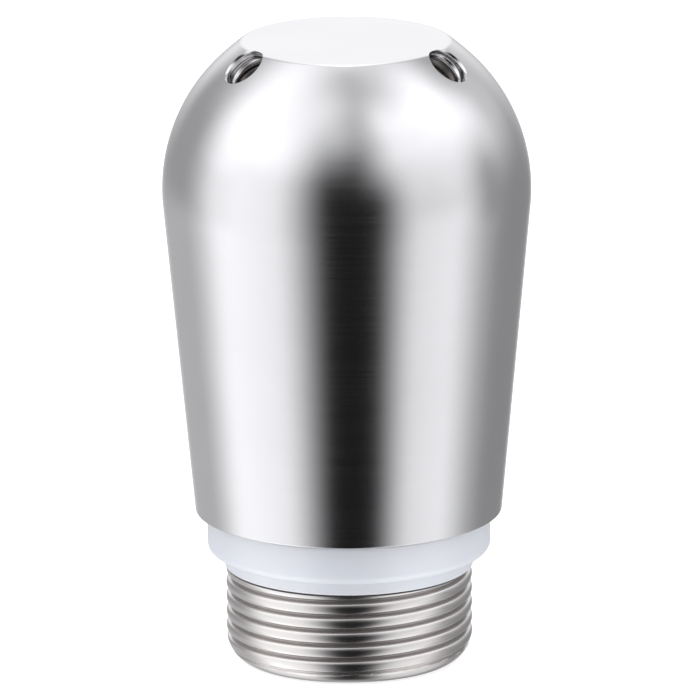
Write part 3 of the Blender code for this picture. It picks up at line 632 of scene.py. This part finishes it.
def plated_thread(name, colour, groove_shade_colour):
    """Nickel plate with painted shade: its colour is bright on the crests and darker down in the grooves,
    standing in for their shade, and it is also duller there.
    """
    material, tree, shader = principled(name)
    shader.inputs["Metallic"].default_value = 1.0
    place = tree.nodes.new("ShaderNodeTexCoord")
    flat = tree.nodes.new("ShaderNodeVectorMath")
    flat.operation = "MULTIPLY"
    flat.inputs[1].default_value = (1.0, 1.0, 0.0)
    link(tree, place.outputs["Object"], flat.inputs[0])
    reach = tree.nodes.new("ShaderNodeVectorMath")
    reach.operation = "LENGTH"
    link(tree, flat.outputs["Vector"], reach.inputs[0])
    crest = remap(tree, reach.outputs["Value"], GROOVE_SHADE_RADIUS, CREST_UNSHADED_RADIUS, 0.0, 1.0)
    split = tree.nodes.new("ShaderNodeSeparateXYZ")
    link(tree, place.outputs["Object"], split.inputs["Vector"])
    end_round = remap(tree, split.outputs["Z"], END_UNSHADED_TOP, END_UNSHADED_BOTTOM, 0.0, 1.0)
    bright = tree.nodes.new("ShaderNodeMath")
    bright.operation = "MAXIMUM"
    link(tree, crest, bright.inputs[0])
    link(tree, end_round, bright.inputs[1])
    clouds = object_noise(tree, PLATE_MOTTLE_SCALE, 3.0)
    mottle = remap(tree, clouds, NOISE_LOW, NOISE_HIGH, -PLATE_MOTTLE, PLATE_MOTTLE)
    total = tree.nodes.new("ShaderNodeMath")
    total.operation = "ADD"
    total.use_clamp = True
    link(tree, bright.outputs[0], total.inputs[0])
    link(tree, mottle, total.inputs[1])
    unshaded_share = total.outputs[0]
    # Painted shade: the base colour runs from the dark groove colour, through a slightly darker shoulder,
    # to the plate's own colour on the crests.
    shoulder_shade_colour = scaled(colour, PLATE_SHOULDER_SHADE)
    stops = ((0.0, groove_shade_colour), (PLATE_SHOULDER, shoulder_shade_colour), (1.0, colour))
    link(tree, colour_ramp(tree, unshaded_share, stops), shader.inputs["Base Color"])
    polish = remap(tree, unshaded_share, 0.0, 1.0, GROOVE_ROUGHNESS, CREST_ROUGHNESS)
    link(tree, polish, shader.inputs["Roughness"])
    add_bump(tree, shader, object_noise(tree, 1.0, 3.0, PLATE_LINES), PLATE_BUMP)
    return material


def milky_plastic(name):
    """Slightly translucent, glossy white plastic with a fine moulded grain."""
    material, tree, shader = principled(name)
    shader.inputs["Roughness"].default_value = PLASTIC_ROUGHNESS
    shader.inputs["Specular IOR Level"].default_value = PLASTIC_SPECULAR
    shader.inputs["IOR"].default_value = PLASTIC_IOR
    shader.inputs["Subsurface Weight"].default_value = PLASTIC_SUBSURFACE
    shader.inputs["Subsurface Radius"].default_value = PLASTIC_SUBSURFACE_RADIUS
    shader.inputs["Subsurface Scale"].default_value = PLASTIC_SUBSURFACE_SCALE
    clouds = object_noise(tree, PLASTIC_CLOUD_SCALE, 2.0)
    mottled_colour(tree, shader, clouds, PLASTIC_DARKER, PLASTIC_LIGHTER)
    add_bump(tree, shader, object_noise(tree, PLASTIC_GRAIN_SCALE, 2.0), PLASTIC_BUMP)
    return material


def moulded(name, colour, roughness, mottle, grain_scale, bump):
    """Matt moulded material: nylon or rubber, with a soft mottle and a fine grain."""
    material, tree, shader = principled(name)
    clouds = object_noise(tree, MOULDED_MOTTLE_SCALE, 3.0)
    mottled_colour(tree, shader, clouds, scaled(colour, mottle), colour)
    grain = object_noise(tree, grain_scale, 2.0)
    vary_roughness(tree, shader, grain, roughness, MOULDED_ROUGHNESS_SPREAD)
    add_bump(tree, shader, grain, bump)
    return material


def finish_piece(piece, body, material, node):
    """Give a piece its material and its body, and hide the CAD node that it replaces."""
    piece.data.materials.clear()
    piece.data.materials.append(material)
    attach(piece, body)
    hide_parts(node)


# Studio

# Soft panels of the light tent, in degrees. Azimuth 0 is the front, positive to the right.
# Each has its middle, half width and fade in azimuth, the same in elevation, and a brightness, which is
# negative for a card that takes light away.
TENT_PANELS = (
    ((-67, 17, 40), (-28, 47, 48), 0.93),  # left wall
    ((60, 11, 32), (-30, 35, 24), 0.80),  # right wall
    ((-65, 32, 60), (51, 3, 37), 0.65),  # left wing
    ((67, 27, 38), (40, 6, 32), 1.00),  # right wing
    ((0, 180, 30), (90, 16, 38), 0.48),  # ceiling
    ((180, 12, 26), (42, 30, 26), 0.72),  # back wall
    ((129, 9, 25), (20, 4, 24), 0.35),  # right back card
    ((180, 5, 16), (-45, 25, 20), 0.5),  # back strip
    ((-115, 25, 35), (-68, 16, 22), 0.45),  # table on the left
    ((115, 25, 35), (-68, 16, 22), 0.45),  # table on the right
    ((180, 12, 28), (-72, 25, 20), -0.34),  # black card under the back
    ((97, 1, 18), (-45, 23, 14), 0.16),  # low card on the right
    ((-140, 20, 22), (-45, 28, 9), 0.135),  # low card on the left
    ((140, 12, 25), (0, 30, 30), -0.075),  # black card on the right
    ((-95, 8, 18), (-4, 8, 9), -0.16),  # grey card by the left wall
    ((64, 10, 22), (5, 7, 12), -0.13),  # grey card by the right wall
    ((0, 4, 22), (44, 3, 12), 0.14),  # fill above the camera
)
TENT_AMBIENT = 0.008
TENT_COLOUR = (0.985, 0.985, 1.0, 1.0)

# Even light that grows from the front round to the back, and a shade straight below, in degrees.
TENT_BACK_AMBIENT = 0.34
TENT_BACK_START = 9
TENT_BACK_END = 130
NADIR_SHADE_START = 68
NADIR_SHADE_END = 82
HALF_TURN = 180.0

FLOOR_SIZE = 6.0
FLOOR_DROP = 0.05 * MM
FLOOR_COLOUR = (0.9, 0.9, 0.9, 1.0)
FLOOR_ROUGHNESS = 0.9
FLOOR_GLOW_COLOUR = (1.0, 1.0, 1.0, 1.0)
FLOOR_GLOW = 0.55


class ShaderMaths:
    """Small helper that adds arithmetic nodes to a node tree."""

    def __init__(self, tree):
        self.tree = tree

    def feed(self, socket, given):
        if isinstance(given, (int, float)):
            socket.default_value = given
        else:
            self.tree.links.new(given, socket)

    def maths(self, operation, first, second=0.0):
        node = self.tree.nodes.new("ShaderNodeMath")
        node.operation = operation
        self.feed(node.inputs[0], first)
        self.feed(node.inputs[1], second)
        return node.outputs[0]

    def soft_step(self, value, start, end):
        """From 1 at start to 0 at end, with a smooth shape."""
        node = self.tree.nodes.new("ShaderNodeMapRange")
        node.interpolation_type = "SMOOTHSTEP"
        self.feed(node.inputs["Value"], value)
        node.inputs["From Min"].default_value = start
        node.inputs["From Max"].default_value = end
        node.inputs["To Min"].default_value = 1.0
        node.inputs["To Max"].default_value = 0.0
        return node.outputs["Result"]


def make_studio():
    """A light tent as a world shader: soft panels placed by azimuth and elevation."""
    world = bpy.data.worlds.new("light_tent")
    bpy.context.scene.world = world
    world.use_nodes = True
    tree = world.node_tree
    build = ShaderMaths(tree)
    split = tree.nodes.new("ShaderNodeSeparateXYZ")
    direction = tree.nodes.new("ShaderNodeTexCoord").outputs["Generated"]
    link(tree, direction, split.inputs["Vector"])
    to_degrees = HALF_TURN / math.pi
    towards_front = build.maths("MULTIPLY", split.outputs["Y"], -1.0)
    turn = build.maths("ARCTAN2", split.outputs["X"], towards_front)
    azimuth = build.maths("MULTIPLY", turn, to_degrees)
    elevation = build.maths("MULTIPLY", build.maths("ARCSINE", split.outputs["Z"]), to_degrees)

    side = build.maths("ABSOLUTE", azimuth)
    back = build.maths("SUBTRACT", 1.0, build.soft_step(side, TENT_BACK_START, TENT_BACK_END))
    total = build.maths("MULTIPLY_ADD", back, TENT_BACK_AMBIENT)
    total.node.inputs[2].default_value = TENT_AMBIENT
    for around, upward, brightness in TENT_PANELS:
        middle, half, fade = around
        offset = build.maths("ABSOLUTE", build.maths("SUBTRACT", azimuth, middle))
        across = build.soft_step(build.maths("PINGPONG", offset, HALF_TURN), half, half + fade)
        middle, half, fade = upward
        lift = build.maths("ABSOLUTE", build.maths("SUBTRACT", elevation, middle))
        along = build.soft_step(lift, half, half + fade)
        share = build.maths("MULTIPLY", across, along)
        total = build.maths("ADD", total, build.maths("MULTIPLY", share, brightness))
    depth = build.maths("MULTIPLY", elevation, -1.0)
    total = build.maths("MULTIPLY", total, build.soft_step(depth, NADIR_SHADE_START, NADIR_SHADE_END))
    seen = tree.nodes.new("ShaderNodeLightPath").outputs["Is Camera Ray"]
    link(tree, build.maths("MAXIMUM", total, seen), tree.nodes["Background"].inputs["Strength"])
    tree.nodes["Background"].inputs["Color"].default_value = TENT_COLOUR


def make_floor():
    bpy.ops.mesh.primitive_plane_add(size=FLOOR_SIZE, location=(0.0, 0.0, -FLOOR_DROP))
    floor = bpy.context.object
    floor.name = "floor"
    material, tree, shader = principled("pale_floor")
    shader.inputs["Base Color"].default_value = FLOOR_COLOUR
    shader.inputs["Roughness"].default_value = FLOOR_ROUGHNESS
    shader.inputs["Emission Color"].default_value = FLOOR_GLOW_COLOUR
    shader.inputs["Emission Strength"].default_value = FLOOR_GLOW
    floor.data.materials.append(material)
    floor.visible_glossy = False


# The camera: a long lens, 15 degrees above the horizontal.
CAMERA_DISTANCE = 1.687
CAMERA_ELEVATION = math.radians(14.98)
CAMERA_LENS = 648.8
CAMERA_NEAR = 0.01
CAMERA_FAR = 100.0
CAMERA_ROLL = math.radians(-0.36)
AIM_HEIGHT = 40.6 * MM
AIM_RIGHT = 0.30 * MM
AIM_UP = 1.34 * MM


def make_camera():
    camera_data = bpy.data.cameras.new("camera")
    camera_data.lens = CAMERA_LENS
    camera_data.clip_start = CAMERA_NEAR
    camera_data.clip_end = CAMERA_FAR
    camera = bpy.data.objects.new("camera", camera_data)
    bpy.context.scene.collection.objects.link(camera)
    bpy.context.scene.camera = camera
    back = Vector((0.0, -math.cos(CAMERA_ELEVATION), math.sin(CAMERA_ELEVATION)))
    up = Vector((0.0, math.sin(CAMERA_ELEVATION), math.cos(CAMERA_ELEVATION)))
    aim = Vector((AIM_RIGHT, 0.0, AIM_HEIGHT)) + up * AIM_UP
    turn = Matrix.Rotation(math.pi / 2 - CAMERA_ELEVATION, 4, "X")
    roll = Matrix.Rotation(CAMERA_ROLL, 4, "Z")
    camera.matrix_world = Matrix.Translation(aim + back * CAMERA_DISTANCE) @ turn @ roll


bpy.context.scene.view_settings.view_transform = "Standard"

# Turned metal: colour, roughness, lines per metre, bump and mottle.
# Moulded: colour, roughness, mottle, grain scale and bump.
materials = {
    "shell_steel": turned_metal("satin_steel", (0.86, 0.86, 0.875), 0.2, 9000.0, 0.12),
    # bore_steel is painted shade: a dark steel on the deep port walls that stands in for the shade down
    # in the ports.
    "bore_steel": turned_metal("bore_steel", (0.22, 0.205, 0.20), 0.3, 4000.0, 0.2, 0.85),
    "stem_nickel": turned_metal("warm_nickel", (0.80, 0.765, 0.74), 0.22, 6000.0, 0.15),
    # The thread's second colour is painted shade for its grooves.
    "thread_nickel": plated_thread("plated_thread", (0.83, 0.805, 0.79), (0.60, 0.575, 0.565)),
    "ring_plastic": milky_plastic("milky_plastic"),
    "bearing_steel": turned_metal("ground_steel", (0.80, 0.80, 0.82), 0.13, 9000.0, 0.08),
    "cage_nylon": moulded("cage_nylon", (0.80, 0.76, 0.64), 0.5, 0.9, 1500.0, 0.2),
    "gland_bronze": turned_metal("turned_bronze", (0.72, 0.50, 0.28), 0.3, 5000.0, 0.2, 0.88),
    "seal_rubber": moulded("seal_rubber", (0.035, 0.035, 0.037), 0.62, 0.7, 2000.0, 0.3),
}
make_shell(materials["shell_steel"], materials["bore_steel"])
make_threaded_adaptor(materials["thread_nickel"])
make_wear_ring(materials["ring_plastic"])
for subpart in frame["record"]["subparts"]:
    node = frame["nodes"][subpart["node"]]
    node.data.materials.clear()
    node.data.materials.append(materials[subpart["material_slot"]])
make_floor()
make_studio()
make_camera()
